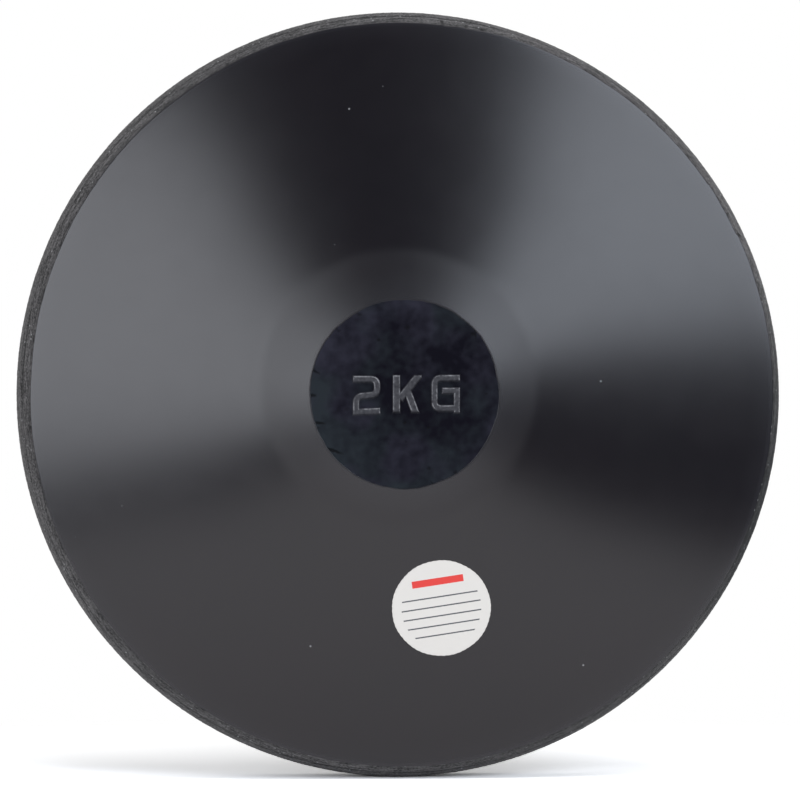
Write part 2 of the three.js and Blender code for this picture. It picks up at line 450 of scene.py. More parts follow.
def shoulder_height(sizes, radii):
    """How far the steeper ring beside the hub rises above the slope, for rows with a column to each angle."""
    turn = np.radians(column_degrees(DISC_COLUMNS)) - sizes.shoulder_side
    knee = sizes.shoulder_radius + sizes.shoulder_shift * np.cos(turn)
    rise = np.logaddexp(0, (knee - radii) / sizes.shoulder_ease)
    return sizes.shoulder_lift * rise / np.logaddexp(0, (knee - sizes.hub_radius) / sizes.shoulder_ease)


def crease_line(sizes, relief, side):
    """Radius of the trimmed crease at each column, which face and rim share."""
    circle = circle_points(sizes.crease_radius, DISC_COLUMNS)
    stray = noise_at(circle, (38, 1, 4 + side), (9, 0.45, 11 + side), (3, 0.3, 21 + side))
    line = sizes.crease_radius + relief.crease_wander * stray
    if side == FRONT:
        degrees = column_degrees(DISC_COLUMNS)
        line += relief.crease_shift * np.cos(np.radians(degrees))
        for angle, size, reach in TRIM_STEPS:
            beyond = (degrees - angle) / reach
            line += size * MM * smooth_step(0, 0.03, beyond) * np.exp(-np.clip(beyond, 0, None))
    return line


def hub_line(sizes, relief, side, columns):
    """Radius of the hub's outline at each column, which face and hub plate share."""
    circle = circle_points(sizes.hub_radius, columns)
    stray = noise_at(circle, (10, 1, 61 + side), (3, 0.5, 67 + side))
    return sizes.hub_radius + relief.hub_wander * (stray - 0.7)


def shell_points(sizes, relief, side):
    """Rows of a rubber half: inside from the weight's recess to the crease, then the face in to its seat."""
    band_radius = sizes.crease_radius - sizes.band_depth - FIT_GAP
    key_radius = band_radius - sizes.key_depth
    recess = sizes.core_radius + FIT_GAP
    hidden = np.array([
        (recess, sizes.core_height),
        (recess, 0),
        (key_radius, 0),
        (key_radius, sizes.key_height),
        (band_radius, sizes.key_height),
        (band_radius, sizes.crease_height - sizes.band_flank),
    ])

    # The face: its rounded outer edge, its slope, the steeper ring, and the rounded edge of the hub's seat
    crease = crease_line(sizes, relief, side)
    hub = hub_line(sizes, relief, side, DISC_COLUMNS) + sizes.seat_gap
    shoulder = sizes.shoulder_radius + sizes.shoulder_shift + 3 * sizes.shoulder_ease
    edge_shares = np.array([0.0, 0.4, 1.0, 2.0, 4.0])[:, None]
    outer = crease - edge_shares * relief.crease_rounding
    inner = hub + edge_shares[::-1] * relief.edge_rounding
    slope_shares = np.linspace(0, 1, SLOPE_ROWS + 1)[1:, None]
    slope = outer[-1] * (1 - slope_shares) + shoulder * slope_shares
    ring_shares = np.linspace(0, 1, SHOULDER_ROWS + 1)[1:, None]
    ring = shoulder * (1 - ring_shares) + (hub + 6 * relief.edge_rounding) * ring_shares
    face_radii = np.concatenate([outer, slope, ring, inner])
    face_heights = face_height(sizes, face_radii) + shoulder_height(sizes, face_radii)
    face_heights[:len(outer)] -= relief.crease_rounding * np.exp(-1.5 * edge_shares)
    face_heights[-len(inner):] -= 0.5 * relief.edge_rounding * np.exp(-0.8 * edge_shares[::-1])

    columns = np.zeros(DISC_COLUMNS)
    seat = sizes.seat_height + columns
    radii = np.concatenate([hidden[:, :1] + columns, face_radii, inner[-1:]])
    heights = np.concatenate([hidden[:, 1:] + columns, face_heights, seat[None]])
    points = ring_points(radii, heights)
    face = slice(len(hidden), -1)
    points[face, :, 1] += relief.face_ripple * noise_at(points[face], (34, 1, 31 * side))
    points[..., 1] *= side
    return points


def rim_cuts(sizes, relief, points, heights):
    """Depth of the seams and nicks at each point of the rim's outside."""
    seam = np.exp(-((np.abs(heights) - relief.seam_offset) / relief.seam_width) ** 2)
    worn = np.clip(0.55 + noise_at(points, (16, 0.6, 27)), 0, 1)
    cuts = relief.seam_depth * seam * worn
    degrees = column_degrees(points.shape[1])
    arc = math.radians(1) * sizes.crease_radius
    from_crease = sizes.crease_height + heights
    for angle, lean, reach, width in RIM_NICKS:
        across = (degrees - angle) * arc - math.radians(lean) * from_crease
        depth = 1 - smooth_step(0.7 * reach * MM, reach * MM, from_crease)
        cuts = np.maximum(cuts, relief.nick_depth * depth * np.exp(-(across / (width * MM)) ** 2))
    return cuts


def torn_grain(sizes, relief, points, heights):
    """How far the buffed grain and its streaks stand out at each point of the rim's outside."""
    along = points.copy()
    along[..., 1] *= 6
    grain = noise_at(points, (1.0, 0.75, 3), (0.5, 0.6, 8)) + noise_at(along, (4.5, 0.45, 15))
    stray = relief.skin_wander * noise_at(points, (6, 1, 19))
    skin_edge = sizes.crease_height - relief.skin_width + stray
    buffed = 1 - 0.7 * smooth_step(skin_edge, skin_edge + relief.skin_ease, np.abs(heights))
    return relief.rim_grain * buffed * grain


def rim_painted_light_and_shade(relief, cuts):
    """How much pale grain shows at each point of the rim's outside, where 1 is usual, with painted light and
    shade from the patches and painted shade in the seams and nicks.
    """
    degrees = column_degrees(cuts.shape[1])
    painted_light_tone = np.ones(cuts.shape[1])
    for angle, reach, change in RIM_PAINTED_LIGHT_PATCHES:
        off = (degrees - angle + 180) % 360 - 180
        painted_light_tone += change * np.exp(-(off / reach) ** 2)
    # Painted shade: the grain is darkened in the seams and nicks, by their depth
    return painted_light_tone * (1 - 0.9 * np.clip(cuts / relief.shaded_cut_depth, 0, 1))


def rim_points(sizes, relief):
    """Rows of the rim band, its outside from crease to crease and its key inside, with the outside's painted
    light and shade.
    """
    bulge = sizes.disc_radius - sizes.crease_radius
    arc_radius = (sizes.crease_height ** 2 + bulge ** 2) / (2 * bulge)
    arc_half = math.asin(sizes.crease_height / arc_radius)
    near = np.array([0.12, 0.3, 0.5]) * MM / arc_radius
    turns = np.concatenate([np.linspace(-arc_half, arc_half, RIM_ROWS), near - arc_half, arc_half - near])
    turns = np.sort(turns)[:, None]
    radii = sizes.disc_radius - arc_radius + arc_radius * np.cos(turns) + np.zeros(DISC_COLUMNS)
    heights = arc_radius * np.sin(turns) + np.zeros(DISC_COLUMNS)

    surface = ring_points(radii, heights)
    cuts = rim_cuts(sizes, relief, surface, heights)
    out = torn_grain(sizes, relief, surface, heights) - cuts
    to_edge = (arc_half - np.abs(turns)) * arc_radius
    out -= relief.crease_rounding * np.exp(-to_edge / relief.crease_fall)
    for side in (FRONT, BACK):
        crease = crease_line(sizes, relief, side)
        share = smooth_step(0.6 * sizes.crease_height, sizes.crease_height, side * heights)
        radii = radii + share * (crease - sizes.crease_radius)
        heights = heights + share * side * (face_height(sizes, crease) - sizes.crease_height)
    radii = radii + out * np.cos(turns)
    heights = heights + out * np.sin(turns)

    seat = sizes.crease_radius - sizes.band_depth
    flank = sizes.crease_height - sizes.band_flank
    key = seat - sizes.key_depth
    inside = [
        (seat, flank),
        (seat, sizes.key_height),
        (key, sizes.key_height),
        (key, -sizes.key_height),
        (seat, -sizes.key_height),
        (seat, -flank),
    ]
    inner_radii = np.array([[radius] * DISC_COLUMNS for radius, _ in inside])
    inner_heights = np.array([[height] * DISC_COLUMNS for _, height in inside])
    points = ring_points(np.concatenate([radii, inner_radii]), np.concatenate([heights, inner_heights]))
    return points, rim_painted_light_and_shade(relief, cuts)


def rounded_line(corners, ease):
    """A centre line through corners, each rounded off by a quadratic curve."""
    corners = [np.array(corner) for corner in corners]
    line = [corners[0]]
    for before, corner, after in zip(corners, corners[1:], corners[2:]):
        ends = []
        for other in (before, after):
            side = other - corner
            size = np.linalg.norm(side)
            ends.append(corner + side * min(ease, size / 2) / size)
        for share in np.linspace(0, 1, 7):
            line.append(ends[0] * (1 - share) ** 2 + corner * 2 * share * (1 - share) + ends[1] * share ** 2)
    return line + [corners[-1]]


def character_strokes(width, height, stroke):
    """Corners of each character's strokes, in a box that starts at its lower left corner."""
    low = stroke / 2
    top = height - low
    right = width - low
    middle = height / 2
    bar = middle + 0.9 * MM
    fall = 0.28 * MM
    rise = 0.25 * MM
    hook = low + 0.45 * MM
    digit = (
        ((0, top), (right, top), (right, middle + fall), (low, middle - fall), (low, 0)),
        ((0, low), (width, low + rise)),
    )
    branched = (
        ((low, 0), (low, height)),
        ((stroke, middle - 0.7 * stroke), (width + low / 2, height + 0.8 * stroke)),
        ((width / 2, middle + low), (right, -stroke)),
    )
    hooked = (
        ((width, top), (low, top), (low, hook), (right, hook)),
        ((width / 2 - 1.2 * low, bar), (width, bar)),
        ((right, bar + low), (right, 0)),
    )
    return digit, branched, hooked


def line_depth(x, z, line, half):
    """How far each place lies inside a flat-ended stroke, below 0 where it is outside."""
    depth = np.full(x.shape, -1.0)
    last = len(line) - 2
    for i, (start, end) in enumerate(zip(line, line[1:])):
        run = end - start
        size = np.linalg.norm(run)
        if size == 0:
            continue
        run = run / size
        along = (x - start[0]) * run[0] + (z - start[1]) * run[1]
        across = np.abs((z - start[1]) * run[0] - (x - start[0]) * run[1])
        before = -along
        after = along - size
        past = np.clip(np.maximum(before, after), 0, None)
        here = half - np.hypot(past, across)
        if i == 0:
            here = np.where(before > 0, np.minimum(half - across, -before), here)
        if i == last:
            here = np.where(after > 0, np.minimum(half - across, -after), here)
        depth = np.maximum(depth, here)
    return depth


def mark_depth(mark, x, z):
    """How far each place of the plate lies inside the weight mark's strokes."""
    pitch = mark.letter_width + mark.letter_gap
    left = mark.mark_across - (pitch * len(CHARACTER_FITS) - mark.letter_gap) / 2
    foot = -mark.mark_drop - mark.letter_height / 2
    depth = np.full(x.shape, -1.0)
    for i, fit in enumerate(CHARACTER_FITS):
        shift, width, lift, height, stroke = (size * MM for size in fit)
        u = x - left - i * pitch - shift
        v = z - foot - lift
        box = np.minimum(np.minimum(u, width - u), np.minimum(v, height - v))
        for corners in character_strokes(width, height, stroke)[i]:
            line = rounded_line(corners, mark.stroke_corner)
            depth = np.maximum(depth, np.minimum(line_depth(u, v, line, stroke / 2), box))
    return depth


def plate_hollows(sizes, relief, points, seed):
    """Depth of the ragged pits and edge cracks of a hub plate."""
    x = points[..., 0] + relief.pit_wander * noise_at(points, (0.7, 1, 51))
    z = points[..., 2] + relief.pit_wander * noise_at(points, (0.7, 1, 57))
    turn = math.radians(37 * seed)
    hollow = np.zeros(x.shape)
    for right, up, width, depth in PLATE_PITS:
        pit_x = right * math.cos(turn) - up * math.sin(turn)
        pit_z = right * math.sin(turn) + up * math.cos(turn)
        gap = np.hypot(x - pit_x * MM, 1.3 * (z - pit_z * MM))
        hollow = np.maximum(hollow, depth * MM * np.exp(-(gap / (width * MM)) ** 2))
    radius = np.hypot(x, z)
    degrees = np.degrees(np.arctan2(z, x) - turn)
    inward = sizes.hub_radius - radius
    for angle, length, width, depth, lean in PLATE_CRACKS:
        off = (degrees - angle + 180) % 360 - 180
        across = np.radians(off) * radius - lean * inward
        share = 1 - smooth_step(0.3 * length * MM, length * MM, inward)
        hollow = np.maximum(hollow, depth * MM * share * np.exp(-(across / (0.5 * width * MM)) ** 2))
    return hollow


def mark_wear_and_highlight(mark, points):
    """How pale the mark is: half on its worn strokes, and most on their worn edges, with painted highlight
    that makes edges facing up and sideways paler than the lower ones.
    """
    x = points[..., 0]
    z = points[..., 2]
    depth = mark_depth(mark, x, z)
    reach = 0.15 * MM
    up = (mark_depth(mark, x, z - reach) - mark_depth(mark, x, z + reach)) / (2 * reach)
    right = (mark_depth(mark, x - reach, z) - mark_depth(mark, x + reach, z)) / (2 * reach)
    # Painted highlight: edges facing up and sideways are paler, lower edges much less so
    turned = np.clip(0.55 + 0.4 * up + 0.35 * np.abs(right) + 0.9 * up * right, 0, 1.2)
    fade = 0.25 * MM + 0.35 * MM * np.clip(-up, 0, 1)
    strokes = smooth_step(-1, 1, depth / fade)
    edge_place = 0.16 * MM
    edge_width = 0.17 * MM
    edge = np.exp(-((depth - edge_place) / edge_width) ** 2)
    patches = np.clip(0.62 + noise_at(points, (1.5, 0.8, 83), (0.5, 0.4, 87)), 0, 1)
    body = np.clip(0.42 + noise_at(points, (0.8, 0.2, 91)), 0.1, 1)
    return strokes * body + 0.8 * edge * turned ** 2 * patches


def plate_points(sizes, relief, mark, side, seed):
    """Rows of a hub plate from its underside to the middle of its face, with each point's wear and hollow."""
    rounding = relief.edge_rounding
    hub = sizes.hub_radius
    chamfer = sizes.plate_chamfer
    under_middle = 0.5 * MM
    face_middle = 0.15 * MM
    under = np.array([
        (under_middle, sizes.seat_height),
        (hub - chamfer, sizes.seat_height),
        (hub, sizes.seat_height + chamfer),
    ])
    edge_shares = np.array([0.0, 0.5, 1.2, 2.2, 3.6])
    fine = mark.mark_reach if mark else 0.5 * hub
    outer = np.linspace(hub - 5 * rounding, fine, PLATE_OUTER_ROWS)
    inner = np.linspace(fine, face_middle, MARK_ROWS if mark else PLATE_INNER_ROWS)[1:]
    face = np.concatenate([hub - edge_shares * rounding, outer, inner])
    face_heights = sizes.hub_height - 0.5 * rounding * np.exp(-1.5 * (hub - face) / rounding)
    radii = np.concatenate([under[:, 0], face])
    heights = np.concatenate([under[:, 1], face_heights])
    stray = hub_line(sizes, relief, side, PLATE_COLUMNS) - hub
    share = smooth_step(0.75 * hub, hub, radii)
    share[0] = 0
    points = ring_points(radii[:, None] + share[:, None] * stray, heights[:, None] + np.zeros(PLATE_COLUMNS))

    top = points[len(under):]
    wear_and_highlight = np.zeros(points.shape[:2])
    hollow = np.zeros(points.shape[:2])
    hollow[len(under):] = plate_hollows(sizes, relief, top, seed)
    out = relief.plate_ripple * noise_at(top, (8, 1, seed), (1.6, 0.35, seed + 5)) - hollow[len(under):]
    if mark:
        flank = mark.mark_flank
        depth = mark_depth(mark, top[..., 0], top[..., 2])
        raised = smooth_step(-0.5 * flank, 0.5 * flank, depth)
        crown = 1 - 0.25 * np.clip(1 - depth / mark.mark_crown, 0, 1) ** 2
        grain = noise_at(top, (0.7, 0.7, 41), (0.35, 0.49, 47)) - 0.7
        moat = np.exp(-((depth + 0.6 * flank) / (0.5 * flank)) ** 2)
        out += raised * (mark.mark_height * crown + relief.mark_grain * grain) - relief.moat_depth * moat
        wear_and_highlight[len(under):] = mark_wear_and_highlight(mark, top)
    top[..., 1] += out
    points[..., 1] *= side
    return points, wear_and_highlight, hollow


def label_points(sizes, mark):
    """Rows of the label: its underside on the face, its wavy edge and its top."""
    turn = np.radians(column_degrees(LABEL_COLUMNS))
    waves = np.abs(np.sin(28 * turn)) + 0.5 * np.sin(9 * turn + 1)
    reach = mark.label_radius + mark.label_waves * (waves - 1)
    shares = np.linspace(0.04, 1, LABEL_ROWS)
    shares = np.concatenate([shares, [0.995], shares[::-1]])
    radius = shares[:, None] * reach
    wide_share = 1.012
    tall_share = 0.978
    x = LABEL_MIDDLE.x + wide_share * radius * np.cos(turn)
    z = LABEL_MIDDLE.z + tall_share * radius * np.sin(turn)
    top = np.arange(len(shares)) >= LABEL_ROWS
    lift = np.where(top, mark.label_thickness, mark.label_lift)[:, None]
    height = face_height(sizes, np.hypot(x, z)) + lift
    return np.stack([x, FRONT * height, z], -1)


def fill_inputs(tree, node, inputs):
    """Fills a node's inputs with values, with chosen outputs, or with the first output of other nodes."""
    for key, value in inputs.items():
        if isinstance(value, bpy.types.Node):
            value = value.outputs[0]
        if isinstance(value, bpy.types.NodeSocket):
            tree.links.new(value, node.inputs[key])
        else:
            node.inputs[key].default_value = value


def add_node(tree, kind, inputs=None, **settings):
    """Adds a shader node with its settings and fills its inputs."""
    node = tree.nodes.new("ShaderNode" + kind)
    for name, value in settings.items():
        setattr(node, name, value)
    fill_inputs(tree, node, inputs or {})
    return node


def empty_tree(owner):
    """The cleared node tree of a material or of the world."""
    owner.use_nodes = True
    owner.node_tree.nodes.clear()
    return owner.node_tree


def new_material(name, **values):
    """A material with one shader, whose own sockets hold the given values."""
    material = bpy.data.materials.new(name)
    tree = empty_tree(material)
    sockets = {socket.replace("_", " "): value for socket, value in values.items()}
    shader = add_node(tree, "BsdfPrincipled", sockets)
    add_node(tree, "OutputMaterial", {"Surface": shader})
    return material, tree, shader


def rgba(colour):
    """A colour with full alpha."""
    return (*colour, 1)


def pattern_scale(size):
    """Scale of a noise whose features have the given size in millimetres."""
    return 1 / (size * MM)


def satin_moulded_rubber(colours, sizes):
    """Styrene-butadiene rubber, pressed in a polished mould: near black, even, with a soft clear gloss."""
    material, tree, shader = new_material("satin_moulded_rubber", IOR=1.42)
    place = add_node(tree, "TexCoord").outputs["Object"]
    flat = add_node(tree, "VectorMath", {0: place, 1: (1, 0, 1)}, operation="MULTIPLY")
    radius = add_node(tree, "VectorMath", {0: flat}, operation="LENGTH").outputs["Value"]

    # Clouds of bloom a few centimetres across
    clouds = add_node(tree, "TexNoise", {"Vector": place, "Scale": pattern_scale(22), "Detail": 4})
    black, bloom = rgba(colours.face_black), rgba(colours.face_bloom)
    finish = add_node(tree, "Mix", {0: clouds, 6: black, 7: bloom}, data_type="RGBA").outputs[2]

    # A paler ring beside the hub and two narrow ones along the crease: painted highlight where the face
    # curves and catches the lamps
    rings = (
        (sizes.hub_radius + 8 * MM, sizes.hub_radius, 0.10),
        (sizes.crease_radius - 6 * MM, sizes.crease_radius, 0.07),
        (sizes.crease_radius - 1.3 * MM, sizes.crease_radius - 0.1 * MM, 0.10),
    )
    # Sum of the rings' painted highlight
    rubbed = 0
    for start, end, most in rings:
        ring = add_node(tree, "MapRange", {0: radius, 1: start, 2: end, 4: most})
        rubbed = add_node(tree, "Math", {0: ring, 1: rubbed}, operation="ADD")

    # A few specks of dust, some tenths of a millimetre across
    dots = add_node(tree, "TexVoronoi", {"Vector": place, "Scale": pattern_scale(14)})
    speck = add_node(tree, "MapRange", {0: dots, 1: 0.012, 2: 0.026, 3: 0.5, 4: 0})
    for share, colour in ((rubbed, colours.face_ring_sheen), (speck, colours.dust_pale)):
        finish = add_node(tree, "Mix", {0: share, 6: finish, 7: rgba(colour)}, data_type="RGBA").outputs[2]

    # The mould's polish is duller in the steeper ring beside the hub
    side = sizes.shoulder_side
    middle = (sizes.shoulder_shift * math.cos(side), 0, sizes.shoulder_shift * math.sin(side))
    gap = add_node(tree, "VectorMath", {0: flat, 1: middle}, operation="DISTANCE").outputs["Value"]
    inner = sizes.shoulder_radius - 2 * MM
    outer = sizes.shoulder_radius + 2 * MM
    ring_roughness = 0.24
    face_roughness = 0.183
    polish = {0: gap, 1: inner, 2: outer, 3: ring_roughness, 4: face_roughness}
    even = add_node(tree, "MapRange", polish, interpolation_type="SMOOTHSTEP")
    smears = add_node(tree, "TexNoise", {"Vector": place, "Scale": pattern_scale(7), "Detail": 5})
    uneven = add_node(tree, "MapRange", {0: smears, 3: -0.015, 4: 0.015})
    rough = add_node(tree, "Math", {0: even, 1: uneven}, operation="ADD")

    # Orange peel of half a millimetre
    peel = add_node(tree, "TexNoise", {"Vector": place, "Scale": pattern_scale(0.6), "Detail": 3})
    bump = add_node(tree, "Bump", {"Strength": 0.15, "Distance": 0.006 * MM, "Height": peel})
    fill_inputs(tree, shader, {"Base Color": finish, "Roughness": rough, "Normal": bump})
    return material


def buffed_rim_rubber(colours, sizes):
    """Filled rubber, moulded and then buffed round the rim: grey torn grain, and dark skin by the creases."""
    material, tree, shader = new_material(
        "buffed_rim_rubber", IOR=1.5, Roughness=0.62, Specular_IOR_Level=0.08
    )
    place = add_node(tree, "TexCoord").outputs["Object"]
    parts = add_node(tree, "SeparateXYZ", {0: place})
    height = add_node(tree, "Math", {0: parts.outputs["Y"]}, operation="ABSOLUTE")

    # Torn grain of about half a millimetre, and streaks drawn out round the rim
    grain = add_node(tree, "TexNoise", {"Vector": place, "Scale": pattern_scale(0.65), "Detail": 3})
    drawn = add_node(tree, "VectorMath", {0: place, 1: (1, 7, 1)}, operation="MULTIPLY")
    streak = add_node(tree, "TexNoise", {"Vector": drawn, "Scale": pattern_scale(5), "Detail": 5})
    both = add_node(tree, "Math", {0: streak, 1: 0.8, 2: grain}, operation="MULTIPLY_ADD")
    shade = add_node(tree, "MapRange", {0: both, 1: 0.69, 2: 1.18})

    # Moulded skin that the buffing half missed, in an uneven strip by each crease
    waver = add_node(tree, "TexNoise", {"Vector": place, "Scale": pattern_scale(6), "Detail": 2})
    shifted = add_node(tree, "Math", {0: waver, 1: 1.0 * MM, 2: height}, operation="MULTIPLY_ADD")
    start = sizes.crease_height - 1.4 * MM
    end = sizes.crease_height - 0.2 * MM
    kept = add_node(tree, "MapRange", {0: shifted, 1: start, 2: end, 3: 1, 4: 0.7})
    # This attribute holds the rim's painted light and shade: the patches, and the painted shade in the seams
    # and nicks
    painted_light_tone = add_node(tree, "Attribute", attribute_name="painted_light_tone").outputs["Fac"]
    for share in (kept, painted_light_tone):
        shade = add_node(tree, "Math", {0: shade, 1: share}, operation="MULTIPLY")

    # Pale specks of dust, a few tenths of a millimetre across
    dots = add_node(tree, "TexVoronoi", {"Vector": place, "Scale": pattern_scale(1.6)})
    speck = add_node(tree, "MapRange", {0: dots, 1: 0.10, 2: 0.20, 3: 1, 4: 0})
    few = add_node(tree, "MapRange", {0: dots.outputs["Color"], 1: 0.66, 2: 0.72})
    fleck = add_node(tree, "Math", {0: speck, 1: few}, operation="MULTIPLY")
    finish = rgba(colours.rim_dark)
    for share, colour in ((shade, colours.rim_grey), (fleck, colours.dust_pale)):
        finish = add_node(tree, "Mix", {0: share, 6: finish, 7: rgba(colour)}, data_type="RGBA").outputs[2]
    bump = add_node(tree, "Bump", {"Strength": 0.8, "Distance": 0.08 * MM, "Height": grain})
    fill_inputs(tree, shader, {"Base Color": finish, "Normal": bump})
    return material


def matte_hub_rubber(colours, sizes):
    """Hard blue-black rubber, pressed in as a slug: matte and mottled, with its raised mark rubbed grey."""
    material, tree, shader = new_material("matte_hub_rubber", IOR=1.5, Specular_IOR_Level=0.05)
    place = add_node(tree, "TexCoord").outputs["Object"]
    wear_and_highlight = add_node(tree, "Attribute", attribute_name="wear_and_highlight").outputs["Fac"]
    hollow = add_node(tree, "Attribute", attribute_name="hollow").outputs["Fac"]

    # Blotches of one to ten millimetres, paler away from a dark spot to the right of the middle
    dark_spot = (7 * MM, 0, 1.5 * MM)
    flat = add_node(tree, "VectorMath", {0: place, 1: (1, 0, 1)}, operation="MULTIPLY")
    gap = add_node(tree, "VectorMath", {0: flat, 1: dark_spot}, operation="DISTANCE").outputs["Value"]
    near = 0.35 * sizes.hub_radius
    far = 1.2 * sizes.hub_radius
    away = add_node(tree, "MapRange", {0: gap, 1: near, 2: far, 4: 0.5})
    broad = add_node(tree, "TexNoise", {"Vector": place, "Scale": pattern_scale(9), "Detail": 2})
    small = add_node(tree, "TexNoise", {"Vector": place, "Scale": pattern_scale(2.2), "Detail": 5})
    blotch = add_node(tree, "Math", {0: small, 1: 0.55, 2: broad}, operation="MULTIPLY_ADD")
    mottle = add_node(tree, "Math", {0: blotch, 1: away}, operation="ADD")
    cloud = add_node(tree, "MapRange", {0: mottle, 1: 0.74, 2: 1.34})
    hue = add_node(tree, "TexNoise", {"Vector": place, "Scale": pattern_scale(14), "Detail": 1})
    bluish = add_node(tree, "MapRange", {0: hue, 1: 0.42, 2: 0.58})
    slate, blue = rgba(colours.hub_slate), rgba(colours.hub_blue)
    pale = add_node(tree, "Mix", {0: bluish, 6: slate, 7: blue}, data_type="RGBA").outputs[2]
    black = rgba(colours.hub_black)
    finish = add_node(tree, "Mix", {0: cloud, 6: black, 7: pale}, data_type="RGBA").outputs[2]

    # Pits and cracks are darkened by their depth: painted shade. The mark's strokes are rubbed grey, and
    # their edges paler, with painted highlight on edges facing up and sideways
    deep = add_node(tree, "MapRange", {0: hollow, 1: 0.03 * MM, 2: 0.16 * MM, 4: 0.8})
    worn = add_node(tree, "MapRange", {0: wear_and_highlight, 1: 0.02, 2: 0.5})
    bare = add_node(tree, "MapRange", {0: wear_and_highlight, 1: 0.5, 2: 1})
    for share, colour in ((deep, colours.hub_pit_shade), (worn, colours.mark_grey), (bare, colours.mark_edge_wear_and_highlight)):
        finish = add_node(tree, "Mix", {0: share, 6: finish, 7: rgba(colour)}, data_type="RGBA").outputs[2]

    rough = add_node(tree, "MapRange", {0: small, 3: 0.5, 4: 0.66})
    grain = add_node(tree, "TexNoise", {"Vector": place, "Scale": pattern_scale(0.8), "Detail": 4})
    bump = add_node(tree, "Bump", {"Strength": 0.4, "Distance": 0.03 * MM, "Height": grain})
    fill_inputs(tree, shader, {"Base Color": finish, "Roughness": rough, "Normal": bump})
    return material


def coated_label_paper(colours, mark):
    """Coated paper, printed with a red bar and grey ruled lines: smooth, white and a little glossy."""
    material, tree, shader = new_material("coated_label_paper", IOR=1.5, Roughness=0.45)
    place = add_node(tree, "TexCoord").outputs["Object"]
    middle = (LABEL_MIDDLE.x, 0, LABEL_MIDDLE.z)
    turned = {"Vector": place, "Location": middle, "Rotation": (0, -mark.label_tilt, 0)}
    printed = add_node(tree, "Mapping", turned, vector_type="TEXTURE")
    parts = add_node(tree, "SeparateXYZ", {0: printed})
    across = add_node(tree, "Math", {0: parts.outputs["X"]}, operation="ABSOLUTE")
    up = parts.outputs["Z"]

    # A red bar above the middle
    bar_up = 7.7 * MM
    bar_gap = add_node(tree, "Math", {0: up, 1: bar_up}, operation="SUBTRACT")
    bar_off = add_node(tree, "Math", {0: bar_gap}, operation="ABSOLUTE")
    bar = (
        ("LESS_THAN", bar_off, 1.0 * MM),
        ("LESS_THAN", across, 7.4 * MM),
    )

    # Ruled lines below it, each as long as the round label leaves room for
    line_shift = 2.1 * MM
    half_pitch = 1.35 * MM
    margin = 2.6 * MM
    shifted = add_node(tree, "Math", {0: up, 1: line_shift}, operation="ADD")
    from_line = add_node(tree, "Math", {0: shifted, 1: half_pitch}, operation="PINGPONG")
    squared = add_node(tree, "Math", {0: up, 1: up}, operation="MULTIPLY")
    room = add_node(tree, "Math", {0: (mark.label_radius - margin) ** 2, 1: squared}, operation="SUBTRACT")
    reach = add_node(tree, "Math", {0: room, 1: 0.5}, operation="POWER")
    lines = (
        ("LESS_THAN", from_line, 0.19 * MM),
        ("LESS_THAN", across, reach),
        ("LESS_THAN", up, 5.5 * MM),
        ("GREATER_THAN", up, -9.0 * MM),
    )

    finish = rgba(colours.paper_white)
    for ink, limits in ((colours.print_red, bar), (colours.print_grey, lines)):
        inked = 1
        for kind, value, limit in limits:
            within = add_node(tree, "Math", {0: value, 1: limit}, operation=kind)
            inked = add_node(tree, "Math", {0: within, 1: inked}, operation="MULTIPLY")
        finish = add_node(tree, "Mix", {0: inked, 6: finish, 7: rgba(ink)}, data_type="RGBA").outputs[2]

    # Paper fibres of a few tenths of a millimetre
    fibre = add_node(tree, "TexNoise", {"Vector": place, "Scale": pattern_scale(0.5), "Detail": 3})
    bump = add_node(tree, "Bump", {"Strength": 0.2, "Distance": 0.01 * MM, "Height": fibre})
    fill_inputs(tree, shader, {"Base Color": finish, "Normal": bump})
    return material


def sand_cast_iron(colours):
    """Grey iron, cast in sand and left raw: dark, grainy metal with rust in its pits."""
    material, tree, shader = new_material("sand_cast_iron")
    place = add_node(tree, "TexCoord").outputs["Object"]
    sand = add_node(tree, "TexNoise", {"Vector": place, "Scale": pattern_scale(0.8), "Detail": 4})
    patches = add_node(tree, "TexNoise", {"Vector": place, "Scale": pattern_scale(14), "Detail": 5})
    rust = add_node(tree, "MapRange", {0: patches, 1: 0.5, 2: 0.62})
    grey, brown = rgba(colours.iron_grey), rgba(colours.iron_rust)
    finish = add_node(tree, "Mix", {0: rust, 6: grey, 7: brown}, data_type="RGBA").outputs[2]
    bare = add_node(tree, "MapRange", {0: rust, 3: 0.9, 4: 0.1})
    rough = add_node(tree, "MapRange", {0: sand, 3: 0.55, 4: 0.8})
    bump = add_node(tree, "Bump", {"Strength": 0.8, "Distance": 0.2 * MM, "Height": sand})
    fill_inputs(tree, shader, {"Base Color": finish, "Metallic": bare, "Roughness": rough, "Normal": bump})
    return material


def seen_rays(tree):
    """1 for camera, glossy and transmission rays, which see the white background, and 0 for others."""
    rays = add_node(tree, "LightPath").outputs
    shown = add_node(tree, "Math", {0: rays["Is Camera Ray"], 1: rays["Is Glossy Ray"]}, operation="MAXIMUM")
    return add_node(tree, "Math", {0: shown, 1: rays["Is Transmission Ray"]}, operation="MAXIMUM")


